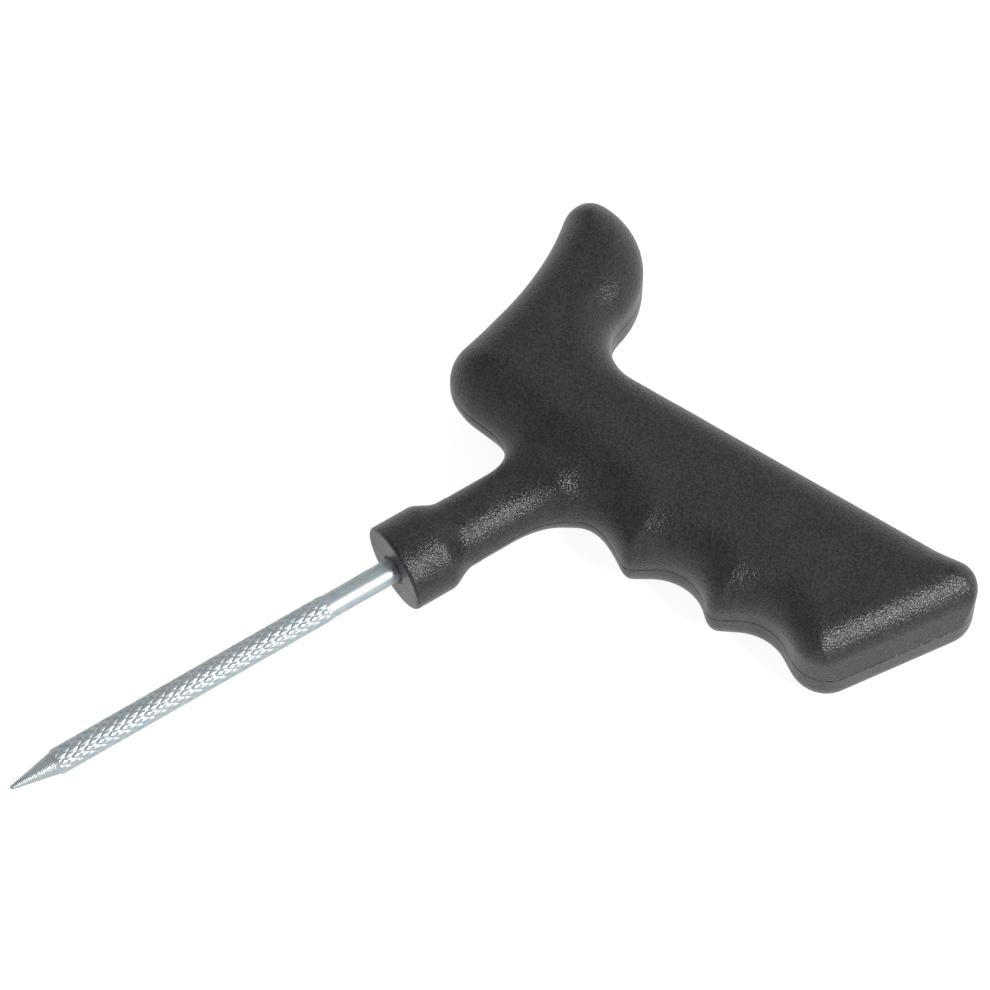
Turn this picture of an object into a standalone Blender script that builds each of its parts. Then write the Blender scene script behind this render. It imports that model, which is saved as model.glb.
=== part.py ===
"""Pistol-grip tyre probe: two moulded handle shells screwed together round a pointed, knurled steel shank.

Metres, +Z up. Shapes are drawn in tool coordinates: u runs along the shank, from the collar's face back into
the handle; v runs up the handle, towards the tail; z is the height over the plane where the shells meet. The
tool lies on its side, so tool coordinates are world coordinates moved by the root empty's location alone.
"""

import math

import bmesh
import bpy
import numpy as np
from mathutils import Matrix, Vector

# Shank: one turned bar from the tip, at u = -SHANK_REACH, to the end of its tang inside the handle.
SHANK_REACH = 0.0945
SHANK_RADIUS = 0.00275
KNURL_RADIUS = 0.00295
KNURL_START = -0.0836
KNURL_END = -0.0163
TIP_RADIUS = 0.0004
CONE_RADIUS = 0.0026
TANG_END = 0.0580
TANG_FLAT_START = 0.0500
TANG_FLAT_HALF = 0.0019
TANG_CHAMFER = 0.0006
KNURL_END_SLOPE = 0.0004
SHANK_SIDES = 32
# The rounded nose: each ring's distance behind the tip and its radius, in tip radii.
NOSE_RINGS = ((0.0, 0.40), (0.3, 0.80), (1.0, 1.0))

# Handle: a thick flat body with rounded edges, and a round neck that ends in a collar.
HALF_THICKNESS = 0.0134
COLLAR_RADIUS = 0.0100
COLLAR_LENGTH = 0.0100
NECK_START = 0.0145
NECK_RADIUS = 0.0078
NECK_END = 0.0380
WALL_THICKNESS = 0.0030
PARTING_GAP = 0.0003
FIT_GAP = 0.0003
COLLAR_JOIN_U = 0.0180
COLLAR_OVERLAP = 0.0010
COLLAR_STAND_OUT = 0.0001

# Each corner of the body's side view: u, v and the radius that rounds it, going round from the butt.
BODY_CORNERS = (
    (0.0579, -0.0724, 0.0086),  # butt, finger side
    (0.1055, -0.0786, 0.0070),  # butt, palm side
    (0.0621, 0.0188, 0.0106),  # web of the thumb, under the tail
    (0.0929, 0.0289, 0.0189),  # heel of the tail
    (0.0863, 0.0475, 0.0119),  # shoulder of the tail
    (0.0830, 0.0557, 0.0063),  # tip of the tail
    (0.0646, 0.0415, 0.0590),  # hollow along the tail's top
    (0.0329, 0.0340, 0.0089),  # bump over the neck, top
    (0.0333, 0.0236, 0.0118),  # bump over the neck, bottom
    (0.0374, 0.0104, 0.0120),  # front of the body, over the neck
    (0.0436, -0.0121, 0.0300),  # behind the first finger
    (0.0412, -0.0270, 0.0028),  # ridge between the first and second fingers
    (0.0539, -0.0345, 0.0104),  # second finger's groove
    (0.0497, -0.0465, 0.0030),  # ridge between the second and third fingers
    (0.0606, -0.0540, 0.0104),  # third finger's groove
)
# Half of the neck's and collar's turned profile: u, radius, and the radius that rounds the corner.
NECK_CORNERS = (
    (0.0, COLLAR_RADIUS, 0.0008),
    (COLLAR_LENGTH, COLLAR_RADIUS, 0.0040),
    (NECK_START, NECK_RADIUS, 0.0060),
    (NECK_END, NECK_RADIUS, 0.0),
)
# Height of the straight wall beside the parting plane: low at the bump, high at the butt, lower at the tail.
WALL_AT_BUMP = 0.0008
WALL_AT_BUTT = 0.0040
WALL_LOSS_AT_TAIL = 0.0012
WALL_GROWS_FROM_U = 0.036
WALL_GROWS_TO_U = 0.066
WALL_FALLS_FROM_V = 0.015
WALL_FALLS_TO_V = 0.050
# How far the neck and the body melt into each other, on the finger side and on the bump side.
# The upper half's end face leans in, and its edge is rounded more tightly than elsewhere.
BUTT_LEAN = 0.14
BUTT_WALL_GAIN = 0.0028
BUTT_NEAR = 0.006
BUTT_FAR = 0.016
BLEND_UNDER_NECK = 0.0160
BLEND_OVER_NECK = 0.0100
BLEND_CHANGES_WITHIN = 0.0060

# Fastening: four self-tapping screws come up through the lower shell into blind holes in the upper one.
SCREW_PLACES = ((0.0860, -0.0660), (0.0740, -0.0330), (0.0475, 0.0215), (0.0765, 0.0390))
SCREW_RADIUS = 0.0015
SCREW_HEAD_RADIUS = 0.0031
SCREW_HEAD_HEIGHT = 0.0021
SCREW_SEAT_Z = -0.0062
SCREW_TIP_Z = 0.0090
SCREW_POINT_LENGTH = 0.0020
SCREW_POINT_RADIUS = 0.0004
# The pan head's outline: each ring's distance behind its face and its radius, as shares of the head's sizes.
HEAD_RINGS = ((0.0, 0.72), (0.14, 0.90), (0.40, 1.0), (1.0, 1.0))
RECESS_WIDTH = 0.0008
RECESS_SPAN = 0.0034
RECESS_DEPTH = 0.0012
BOSS_RADIUS = 0.0048
COUNTERBORE_RADIUS = 0.0035
CLEARANCE_RADIUS = 0.0019
PILOT_RADIUS = 0.0018
PILOT_TOP_Z = 0.0098

# Locating pegs stand on the lower shell and enter sockets in the upper one.
PEG_PLACES = ((0.0665, -0.0680), (0.0690, -0.0080), (0.0610, 0.0300))
PEG_RADIUS = 0.0015
PEG_HEIGHT = 0.0030
PEG_BOSS_RADIUS = 0.0036

# The cross pin goes through the tang and lies in a pocket in both shells.
PIN_U = 0.0440
PIN_RADIUS = 0.0015
PIN_HALF_LENGTH = 0.0085
PIN_CHAMFER = 0.0003

# Solid block round the tang, and the ribs that cross the hollow grip at right angles to the palm edge.
SPINE_HALF_WIDTH = 0.0095
SPINE_END = 0.0620
RIB_THICKNESS = 0.0020
RIB_LENGTH = 0.0700
RIB_PLACES = ((0.0830, -0.0530), (0.0755, -0.0430), (0.0700, -0.0220), (0.0620, 0.0220))
GRIP_DIRECTION = Vector((-0.0446, 0.0980, 0.0)).normalized()

# Mesh fineness.
ARC_STEP = math.radians(6)
ROUND_SIDES = 24
COLLAR_SIDES = 48
FORM_VOXEL = 0.0029
CORE_VOXEL = 0.0048
SETTLE_PASSES = 2
SETTLE_STEPS = 6
GRADIENT_STEP = 0.00005
LEAST_SLOPE = 0.25
FLAT_ANGLE = math.radians(0.1)
SHARP_ANGLE = math.radians(35)
BIG = 0.3

# Materials: colour, metallic value and roughness.
MATERIALS = {
    "upper_grip": ((0.030, 0.031, 0.033), 0.0, 0.48),
    "lower_grip": ((0.034, 0.035, 0.037), 0.0, 0.50),
    "plated_steel": ((0.62, 0.66, 0.70), 1.0, 0.24),
    "pin_steel": ((0.45, 0.45, 0.46), 1.0, 0.35),
    "screw_steel": ((0.30, 0.30, 0.31), 1.0, 0.38),
}


def clear_scene():
    for obj in list(bpy.data.objects):
        bpy.data.objects.remove(obj, do_unlink=True)


def material(name):
    """A Principled material with the colour, metallic value and roughness listed under its name."""
    colour, metallic, roughness = MATERIALS[name]
    made = bpy.data.materials.new(name)
    made.use_nodes = True
    shader = made.node_tree.nodes["Principled BSDF"]
    shader.inputs["Base Color"].default_value = (*colour, 1.0)
    shader.inputs["Metallic"].default_value = metallic
    shader.inputs["Roughness"].default_value = roughness
    made.diffuse_color = (*colour, 1.0)
    return made


# ---- Outlines and the surface they define ----


def rounded_outline(corners, closed=True):
    """Points along a polygon whose corners (u, v, radius) are rounded by arcs."""
    points = []
    count = len(corners)
    for i, (u, v, radius) in enumerate(corners):
        corner = Vector((u, v))
        if radius == 0 or (not closed and i in (0, count - 1)):
            points.append(corner)
            continue
        arriving = (corner - Vector(corners[i - 1][:2])).normalized()
        leaving = (Vector(corners[(i + 1) % count][:2]) - corner).normalized()
        turn = math.atan2(arriving.cross(leaving), arriving.dot(leaving))
        start = corner - arriving * radius * math.tan(abs(turn) / 2)
        side = math.copysign(1.0, turn)
        centre = start + Vector((-arriving.y, arriving.x)) * side * radius
        spoke = start - centre
        steps = max(2, math.ceil(abs(turn) / ARC_STEP))
        for k in range(steps + 1):
            points.append(centre + Matrix.Rotation(turn * k / steps, 2) @ spoke)
    return np.array([tuple(point) for point in points])


def neck_outline():
    """The neck's profile mirrored across its axis, so that it closes."""
    lower = [(u, -r, rounding) for u, r, rounding in NECK_CORNERS]
    return rounded_outline(lower + list(NECK_CORNERS[::-1]))


def depth_inside(points, outline):
    """Distance from each 2-D point to a closed outline, positive inside it."""
    starts = outline
    ends = np.roll(outline, -1, axis=0)
    along = ends - starts
    from_start = points[:, None, :] - starts[None, :, :]
    share = (from_start * along).sum(axis=2) / (along * along).sum(axis=1)
    nearest = from_start - np.clip(share, 0, 1)[:, :, None] * along
    distance = np.sqrt((nearest * nearest).sum(axis=2).min(axis=1))
    crosses = (starts[:, 1] > points[:, None, 1]) != (ends[:, 1] > points[:, None, 1])
    with np.errstate(divide="ignore", invalid="ignore"):
        crossing = starts[:, 0] + along[:, 0] * (points[:, None, 1] - starts[:, 1]) / along[:, 1]
    inside = (crosses & (points[:, None, 0] < crossing)).sum(axis=1) % 2 == 1
    return np.where(inside, distance, -distance)


def smooth_ramp(value, low, high):
    """0 below low, 1 above high, and a smooth S between them."""
    share = np.clip((value - low) / (high - low), 0, 1)
    return share * share * (3 - 2 * share)


def smooth_union(first, second, blend):
    overlap = np.maximum(blend - np.abs(first - second), 0) / blend
    return np.minimum(first, second) - overlap * overlap * blend / 4


BODY_OUTLINE = rounded_outline(BODY_CORNERS)
NECK_OUTLINE = neck_outline()


def depth_from_butt(u, v):
    """Depth behind the straight line of the butt's edge."""
    (u0, v0, _), (u1, v1, _) = BODY_CORNERS[:2]
    length = math.hypot(u1 - u0, v1 - v0)
    return ((u1 - u0) * (v - v0) - (v1 - v0) * (u - u0)) / length


def body_field(u, v, z):
    """Below 0 inside the body: the outline thickened both ways, with its edges rounded up to the flat sides."""
    butt = depth_from_butt(u, v)
    depth = np.minimum(depth_inside(np.column_stack((u, v)), BODY_OUTLINE), butt - BUTT_LEAN * np.maximum(z, 0))
    wall = WALL_AT_BUMP + (WALL_AT_BUTT - WALL_AT_BUMP) * smooth_ramp(u, WALL_GROWS_FROM_U, WALL_GROWS_TO_U)
    wall = wall - WALL_LOSS_AT_TAIL * smooth_ramp(v, WALL_FALLS_FROM_V, WALL_FALLS_TO_V)
    wall = np.maximum(wall, WALL_AT_BUMP)
    wall = wall + np.where(z > 0, BUTT_WALL_GAIN * (1 - smooth_ramp(butt, BUTT_NEAR, BUTT_FAR)), 0)
    rounding = HALF_THICKNESS - wall
    inset = rounding - depth
    rise = np.abs(z) - wall
    corner = np.hypot(np.maximum(inset, 0), np.maximum(rise, 0))
    return corner + np.minimum(np.maximum(inset, rise), 0) - rounding


def handle_field(points):
    """Below 0 inside the handle: its body and its neck, melted together where they meet."""
    u, v, z = points.T
    neck = -depth_inside(np.column_stack((u, np.hypot(v, z))), NECK_OUTLINE)
    under = smooth_ramp(-v, -BLEND_CHANGES_WITHIN, BLEND_CHANGES_WITHIN)
    blend = BLEND_OVER_NECK + (BLEND_UNDER_NECK - BLEND_OVER_NECK) * under
    return smooth_union(body_field(u, v, z), neck, blend)


# ---- Mesh helpers ----


def new_object(name, mesh):
    obj = bpy.data.objects.new(name, mesh)
    bpy.context.scene.collection.objects.link(obj)
    return obj


def mesh_from(name, verts, faces):
    mesh = bpy.data.meshes.new(name)
    mesh.from_pydata([tuple(v) for v in verts], [], faces)
    shape = bmesh.new()
    shape.from_mesh(mesh)
    bmesh.ops.recalc_face_normals(shape, faces=shape.faces)
    shape.to_mesh(mesh)
    shape.free()
    return mesh


def prism(name, outline, low, high):
    """The outline extruded from z = low to z = high."""
    count = len(outline)
    verts = [(u, v, z) for z in (low, high) for u, v in outline]
    sides = [(i, (i + 1) % count, count + (i + 1) % count, count + i) for i in range(count)]
    caps = [tuple(range(count))[::-1], tuple(range(count, 2 * count))]
    return new_object(name, mesh_from(name, verts, sides + caps))


def box(name, low, high):
    (u0, v0, z0), (u1, v1, z1) = low, high
    return prism(name, ((u0, v0), (u1, v0), (u1, v1), (u0, v1)), z0, z1)


def turned(name, profile, place=(0, 0, 0), along="Z", sides=ROUND_SIDES):
    """A solid turned about an axis from a profile of (distance along the axis, radius), capped at both ends."""
    verts = []
    for height, radius in profile:
        for i in range(sides):
            angle = 2 * math.pi * (i + 0.5) / sides
            verts.append(Vector((radius * math.cos(angle), radius * math.sin(angle), height)))
    faces = []
    for ring in range(len(profile) - 1):
        first = ring * sides
        for i in range(sides):
            j = (i + 1) % sides
            faces.append((first + i, first + j, first + sides + j, first + sides + i))
    faces.append(tuple(range(sides))[::-1])
    faces.append(tuple(range(len(verts) - sides, len(verts))))
    turn = {"X": Matrix.Rotation(math.pi / 2, 4, "Y"), "Y": Matrix.Rotation(-math.pi / 2, 4, "X")}
    matrix = Matrix.Translation(place) @ turn.get(along, Matrix.Identity(4))
    return new_object(name, mesh_from(name, [matrix @ vert for vert in verts], faces))


def apply_modifiers(obj):
    """Replaces the object's mesh with what its modifiers make of it."""
    bpy.context.view_layer.update()
    graph = bpy.context.evaluated_depsgraph_get()
    obj.data = bpy.data.meshes.new_from_object(obj.evaluated_get(graph))
    obj.modifiers.clear()


def combine(obj, other, operation):
    """Applies one Boolean and removes the other object."""
    modifier = obj.modifiers.new(operation.lower(), "BOOLEAN")
    modifier.operation = operation
    modifier.solver = "EXACT"
    modifier.object = other
    apply_modifiers(obj)
    bpy.data.objects.remove(other, do_unlink=True)


def cut(obj, *cutters):
    for cutter in cutters:
        combine(obj, cutter, "DIFFERENCE")


def copy_of(obj, name):
    return new_object(name, obj.data.copy())


# ---- Handle ----


def settle_on_level(obj, level):
    """Moves every vertex along the field's slope until the field has the given level there."""
    count = len(obj.data.vertices)
    flat = np.empty(count * 3)
    obj.data.vertices.foreach_get("co", flat)
    points = flat.reshape(-1, 3)
    offsets = np.eye(3) * GRADIENT_STEP
    for _ in range(SETTLE_STEPS):
        miss = handle_field(points) - level
        slope = np.column_stack([handle_field(points + o) - handle_field(points - o) for o in offsets])
        slope /= 2 * GRADIENT_STEP
        points = points - slope * (miss / np.maximum((slope * slope).sum(axis=1), LEAST_SLOPE))[:, None]
    obj.data.vertices.foreach_set("co", points.ravel())
    obj.data.update()


def handle_solid(name, level, voxel):
    """The closed surface where the field has a level: 0 is the handle's skin, and below 0 lies inside it."""
    solid = prism(name, BODY_OUTLINE, -HALF_THICKNESS, HALF_THICKNESS)
    neck = turned(name + "_neck", ((0.0, NECK_RADIUS), (NECK_END, NECK_RADIUS)), along="X")
    combine(solid, neck, "UNION")
    for _ in range(SETTLE_PASSES):
        remesh = solid.modifiers.new("remesh", "REMESH")
        remesh.mode = "VOXEL"
        remesh.voxel_size = voxel
        apply_modifiers(solid)
        settle_on_level(solid, level)
    flatten = solid.modifiers.new("flatten", "DECIMATE")
    flatten.decimate_type = "DISSOLVE"
    flatten.angle_limit = FLAT_ANGLE
    solid.modifiers.new("triangles", "TRIANGULATE")
    apply_modifiers(solid)
    return solid


def add_collar(form):
    """Swaps the front of the neck for a crisply turned collar."""
    cut(form, box("front", (-BIG, -BIG, -BIG), (COLLAR_JOIN_U, BIG, BIG)))
    curve = rounded_outline(NECK_CORNERS, closed=False)
    profile = [(u, radius + COLLAR_STAND_OUT) for u, radius in curve if u < COLLAR_JOIN_U]
    profile.append((COLLAR_JOIN_U + COLLAR_OVERLAP, NECK_RADIUS + COLLAR_STAND_OUT))
    combine(form, turned("collar", profile, along="X", sides=COLLAR_SIDES), "UNION")


def rib(index, place):
    """A plate across the grip, standing through the full thickness of the hollow."""
    along = Vector((GRIP_DIRECTION.y, -GRIP_DIRECTION.x, 0.0)) * RIB_LENGTH / 2
    across = GRIP_DIRECTION * RIB_THICKNESS / 2
    centre = Vector((*place, 0.0))
    corners = [centre + along * a + across * b for a, b in ((-1, -1), (1, -1), (1, 1), (-1, 1))]
    return prism(f"rib_{index}", [(c.x, c.y) for c in corners], -BIG, BIG)


def hollow():
    """The space inside the handle: its skin's inner surface, less the spine, bosses and ribs that stay solid."""
    space = handle_solid("hollow", -WALL_THICKNESS, CORE_VOXEL)
    cut(space, box("spine", (-BIG, -SPINE_HALF_WIDTH, -BIG), (SPINE_END, SPINE_HALF_WIDTH, BIG)))
    bosses = [(place, BOSS_RADIUS) for place in SCREW_PLACES]
    bosses += [(place, PEG_BOSS_RADIUS) for place in PEG_PLACES]
    for (u, v), radius in bosses:
        cut(space, turned("boss", ((-BIG, radius), (BIG, radius)), place=(u, v, 0.0)))
    for index, place in enumerate(RIB_PLACES):
        cut(space, rib(index, place))
    return space


def cut_shank_seat(shell):
    """The channel for the shank, the flat-sided pocket for the tang's end and the pocket for the cross pin."""
    bore = SHANK_RADIUS + FIT_GAP
    cut(
        shell,
        turned("channel", ((-BIG, bore), (TANG_FLAT_START + FIT_GAP, bore)), along="X"),
        box(
            "tang_pocket",
            (TANG_FLAT_START - FIT_GAP, -bore, -TANG_FLAT_HALF - FIT_GAP),
            (TANG_END + FIT_GAP, bore, TANG_FLAT_HALF + FIT_GAP),
        ),
        turned(
            "pin_pocket",
            (
                (-PIN_HALF_LENGTH - FIT_GAP, PIN_RADIUS + FIT_GAP),
                (PIN_HALF_LENGTH + FIT_GAP, PIN_RADIUS + FIT_GAP),
            ),
            place=(PIN_U, 0.0, 0.0),
            along="Y",
        ),
    )


def half_shell(name, form, space, side):
    """One half of the handle. side is 1 for the upper half and -1 for the lower."""
    shell = copy_of(form, name)
    gap = PARTING_GAP / 2
    if side > 0:
        cut(shell, box("lower_half", (-BIG, -BIG, -BIG), (BIG, BIG, gap)))
    else:
        cut(shell, box("upper_half", (-BIG, -BIG, -gap), (BIG, BIG, BIG)))
    cut(shell, copy_of(space, "space"))
    cut_shank_seat(shell)
    return shell


def upper_shell(form, space):
    shell = half_shell("upper_shell", form, space, 1)
    for u, v in SCREW_PLACES:
        cut(shell, turned("pilot", ((-BIG, PILOT_RADIUS), (PILOT_TOP_Z, PILOT_RADIUS)), place=(u, v, 0.0)))
    socket = PEG_RADIUS + FIT_GAP
    for u, v in PEG_PLACES:
        cut(shell, turned("socket", ((-BIG, socket), (PEG_HEIGHT + FIT_GAP, socket)), place=(u, v, 0.0)))
    return shell


def lower_shell(form, space):
    shell = half_shell("lower_shell", form, space, -1)
    for u, v in SCREW_PLACES:
        cut(
            shell,
            turned("clearance", ((-BIG, CLEARANCE_RADIUS), (BIG, CLEARANCE_RADIUS)), place=(u, v, 0.0)),
            turned(
                "counterbore",
                ((-BIG, COUNTERBORE_RADIUS), (SCREW_SEAT_Z, COUNTERBORE_RADIUS)),
                place=(u, v, 0.0),
            ),
        )
    for u, v in PEG_PLACES:
        peg = turned("peg", ((-PEG_HEIGHT, PEG_RADIUS), (PEG_HEIGHT, PEG_RADIUS)), place=(u, v, 0.0))
        combine(shell, peg, "UNION")
    return shell


# ---- Metal parts ----


def shank():
    """The bar: a ground point with a rounded nose, the knurled working length, the bright neck and the tang."""
    profile = [(TIP_RADIUS * back - SHANK_REACH, TIP_RADIUS * wide) for back, wide in NOSE_RINGS]
    profile += [
        (KNURL_START, CONE_RADIUS),
        (KNURL_START + KNURL_END_SLOPE, KNURL_RADIUS),
        (KNURL_END - KNURL_END_SLOPE, KNURL_RADIUS),
        (KNURL_END, SHANK_RADIUS),
        (TANG_END - TANG_CHAMFER, SHANK_RADIUS),
        (TANG_END, SHANK_RADIUS - TANG_CHAMFER),
    ]
    bar = turned("shank", profile, along="X", sides=SHANK_SIDES)
    hole = PIN_RADIUS + FIT_GAP
    cut(bar, turned("pin_hole", ((-BIG, hole), (BIG, hole)), place=(PIN_U, 0.0, 0.0), along="Y"))
    for side in (-1, 1):
        near, far = sorted((side * TANG_FLAT_HALF, side * BIG))
        cut(bar, box("flat", (TANG_FLAT_START, -BIG, near), (BIG, BIG, far)))
    return bar


def cross_pin():
    inner = PIN_HALF_LENGTH - PIN_CHAMFER
    profile = (
        (-PIN_HALF_LENGTH, PIN_RADIUS - PIN_CHAMFER),
        (-inner, PIN_RADIUS),
        (inner, PIN_RADIUS),
        (PIN_HALF_LENGTH, PIN_RADIUS - PIN_CHAMFER),
    )
    return turned("cross_pin", profile, place=(PIN_U, 0.0, 0.0), along="Y")


def screw(index, place):
    """A pan-head self-tapping screw with a cross recess, its head down in the lower shell's counterbore."""
    seat = SCREW_SEAT_Z - FIT_GAP
    face = seat - SCREW_HEAD_HEIGHT
    profile = [(face + SCREW_HEAD_HEIGHT * back, SCREW_HEAD_RADIUS * wide) for back, wide in HEAD_RINGS]
    profile += [
        (seat, SCREW_RADIUS),
        (SCREW_TIP_Z - SCREW_POINT_LENGTH, SCREW_RADIUS),
        (SCREW_TIP_Z, SCREW_POINT_RADIUS),
    ]
    made = turned(f"screw_{index}", profile, place=(*place, 0.0))
    u, v = place
    half = RECESS_WIDTH / 2
    reach = RECESS_SPAN / 2
    for wide, tall in ((half, reach), (reach, half)):
        low = (u - wide, v - tall, face - SCREW_HEAD_HEIGHT)
        high = (u + wide, v + tall, face + RECESS_DEPTH)
        cut(made, box("recess", low, high))
    return made


# ---- Assembly ----


def finish_part(obj, material_name, root):
    obj.data.materials.clear()
    obj.data.materials.append(bpy.data.materials.get(material_name) or material(material_name))
    obj.data.shade_smooth()
    obj.data.set_sharp_from_angle(angle=SHARP_ANGLE)
    obj.parent = root


def stand_on_origin(root, parts):
    """Moves the root so that the world origin is the middle of the tool's bottom face."""
    corners = np.array([tuple(vert.co) for part in parts for vert in part.data.vertices])
    low = corners.min(axis=0)
    high = corners.max(axis=0)
    root.location = (-(low[0] + high[0]) / 2, -(low[1] + high[1]) / 2, -low[2])


def build():
    clear_scene()
    root = bpy.data.objects.new("tool_root", None)
    bpy.context.scene.collection.objects.link(root)
    form = handle_solid("form", 0.0, FORM_VOXEL)
    add_collar(form)
    space = hollow()
    parts = {
        upper_shell(form, space): "upper_grip",
        lower_shell(form, space): "lower_grip",
        shank(): "plated_steel",
        cross_pin(): "pin_steel",
    }
    for index, place in enumerate(SCREW_PLACES, start=1):
        parts[screw(index, place)] = "screw_steel"
    for helper in (form, space):
        bpy.data.objects.remove(helper, do_unlink=True)
    for part, material_name in parts.items():
        finish_part(part, material_name, root)
    stand_on_origin(root, parts)


build()
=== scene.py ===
"""The looks of a pistol-grip tyre probe: a grained black handle of two shells and a plated, knurled shank.

Metres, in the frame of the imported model. Shapes are drawn in tool coordinates: u runs along the shank from
the collar's face back into the handle, v runs up the handle towards the tail, and z is the height over the
plane where the shells meet. TOOL_ORIGIN, read from the frame, places them.
"""

import math

import bmesh
import bpy
import numpy as np
from mathutils import Matrix, Vector


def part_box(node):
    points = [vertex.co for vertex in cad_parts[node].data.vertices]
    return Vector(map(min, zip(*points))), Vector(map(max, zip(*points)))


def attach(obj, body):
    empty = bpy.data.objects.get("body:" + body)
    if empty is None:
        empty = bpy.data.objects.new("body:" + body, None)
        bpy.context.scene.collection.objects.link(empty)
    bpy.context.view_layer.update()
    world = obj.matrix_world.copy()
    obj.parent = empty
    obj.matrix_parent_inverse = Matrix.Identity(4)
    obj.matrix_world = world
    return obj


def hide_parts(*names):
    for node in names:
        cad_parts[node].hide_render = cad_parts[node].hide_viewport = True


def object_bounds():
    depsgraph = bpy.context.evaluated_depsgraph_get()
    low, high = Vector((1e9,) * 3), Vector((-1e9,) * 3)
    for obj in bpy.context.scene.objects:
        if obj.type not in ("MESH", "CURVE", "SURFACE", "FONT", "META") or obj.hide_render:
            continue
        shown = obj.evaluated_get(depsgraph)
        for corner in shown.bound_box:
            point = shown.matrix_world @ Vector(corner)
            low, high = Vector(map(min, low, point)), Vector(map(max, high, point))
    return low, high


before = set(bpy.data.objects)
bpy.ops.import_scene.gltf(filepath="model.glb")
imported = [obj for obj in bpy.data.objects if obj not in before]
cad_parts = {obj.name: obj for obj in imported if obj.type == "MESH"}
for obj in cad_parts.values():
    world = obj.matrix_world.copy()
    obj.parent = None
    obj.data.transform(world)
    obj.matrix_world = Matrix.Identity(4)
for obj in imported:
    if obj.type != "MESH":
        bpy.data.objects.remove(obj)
cad_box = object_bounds()

# ---- Sizes ----

SHANK_REACH = 0.0945
SHANK_RADIUS = 0.00275
KNURL_RADIUS = 0.00295
KNURL_START = -0.0836
KNURL_END = -0.0163
TIP_RADIUS = 0.0004
CONE_RADIUS = 0.0026
TANG_END = 0.0580
TANG_FLAT_START = 0.0500
TANG_FLAT_HALF = 0.0019
TANG_CHAMFER = 0.0006

HALF_THICKNESS = 0.0134
COLLAR_RADIUS = 0.0100
COLLAR_LENGTH = 0.0100
NECK_START = 0.0145
NECK_RADIUS = 0.0078
NECK_END = 0.0380
WALL_THICKNESS = 0.0030
PARTING_GAP = 0.00014
FIT_GAP = 0.0003

# Screws and cross pin, the bosses and the spine that hold them, and the mouth of the shank's bore. The screws
# stand along z, from their heads in the lower shell to their tips in the upper one.
SCREW_PLACES = ((0.0860, -0.0660), (0.0740, -0.0330), (0.0475, 0.0215), (0.0765, 0.0390))
SCREW_RADIUS = 0.0015
SCREW_HEAD_RADIUS = 0.0031
SCREW_HEAD_HEIGHT = 0.0021
SCREW_SEAT_Z = -0.0062
SCREW_TIP_Z = 0.0090
BOSS_RADIUS = 0.0048
COUNTERBORE_RADIUS = 0.0035
CLEARANCE_RADIUS = 0.0019
PILOT_RADIUS = 0.0018
PILOT_TOP_Z = 0.0098
PIN_U = 0.0440
PIN_RADIUS = 0.0015
PIN_HALF_LENGTH = 0.0085
SPINE_HALF_WIDTH = 0.0095
SPINE_END = 0.0620
MOUTH_RADIUS = 0.0036
MOUTH_DEPTH = 0.0006

# Each corner of the body's side view: u, v and the radius that rounds it, going round from the butt.
BODY_CORNERS = (
    (0.0579, -0.0724, 0.0086),  # butt, finger side
    (0.1055, -0.0786, 0.0070),  # butt, palm side
    (0.0621, 0.0188, 0.0106),  # web of the thumb, under the tail
    (0.0929, 0.0289, 0.0189),  # heel of the tail
    (0.0863, 0.0475, 0.0119),  # shoulder of the tail
    (0.0830, 0.0557, 0.0063),  # tip of the tail
    (0.0646, 0.0415, 0.0590),  # hollow along the tail's top
    (0.0329, 0.0340, 0.0089),  # bump over the neck, top
    (0.0333, 0.0236, 0.0118),  # bump over the neck, bottom
    (0.0374, 0.0104, 0.0120),  # front of the body, over the neck
    (0.0436, -0.0121, 0.0300),  # behind the first finger
    (0.0412, -0.0270, 0.0028),  # ridge between the first and second fingers
    (0.0539, -0.0345, 0.0104),  # second finger's groove
    (0.0497, -0.0465, 0.0030),  # ridge between the second and third fingers
    (0.0606, -0.0540, 0.0104),  # third finger's groove
)
# Half of the neck's and collar's turned profile: u, radius, and the radius that rounds the corner.
NECK_CORNERS = (
    (0.0, COLLAR_RADIUS, 0.0007),
    (COLLAR_LENGTH, COLLAR_RADIUS, 0.0040),
    (NECK_START, NECK_RADIUS, 0.0060),
    (NECK_END, NECK_RADIUS, 0.0),
)
WALL_AT_BUMP = 0.0008
WALL_AT_BUTT = 0.0040
WALL_LOSS_AT_TAIL = 0.0012
WALL_GROWS_FROM_U = 0.036
WALL_GROWS_TO_U = 0.066
WALL_FALLS_FROM_V = 0.015
WALL_FALLS_TO_V = 0.050
# The upper half's end face leans in, and its edge is rounded more tightly than elsewhere.
BUTT_LEAN = 0.14
BUTT_WALL_GAIN = 0.0028
BUTT_NEAR = 0.006
BUTT_FAR = 0.016
BLEND_UNDER_NECK = 0.0160
BLEND_OVER_NECK = 0.0100
BLEND_CHANGES_WITHIN = 0.0060

# Fineness of the handle's outlines and meshes.
ARC_STEP = math.radians(2)
CORNER_STEPS = 6
ROUGH_VOXEL = 0.0009
SKIN_VOXEL = 0.00045
CORE_VOXEL = 0.0025
MAP_STEP = 0.00025
MAP_MARGIN = 0.014
MAP_SOFTEN = 8
# Keeps a look-up this many cells from the map's far edge, so that it always has a next cell.
MAP_END_CELLS = 1.001
SETTLE_STEPS = 5
GRADIENT_STEP = 0.0001
LEAST_SLOPE_SQUARED = 0.25
# The skin stays this far inside the CAD model's.
SKIN_INSET = 0.00007
# Where the turned collar is stitched to the skin, and the rings on its flat face as shares of its radius.
COLLAR_JOIN_U = 0.0180
COLLAR_SIDES = 160
FACE_RINGS = (0.35, 0.6, 0.8)
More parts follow.
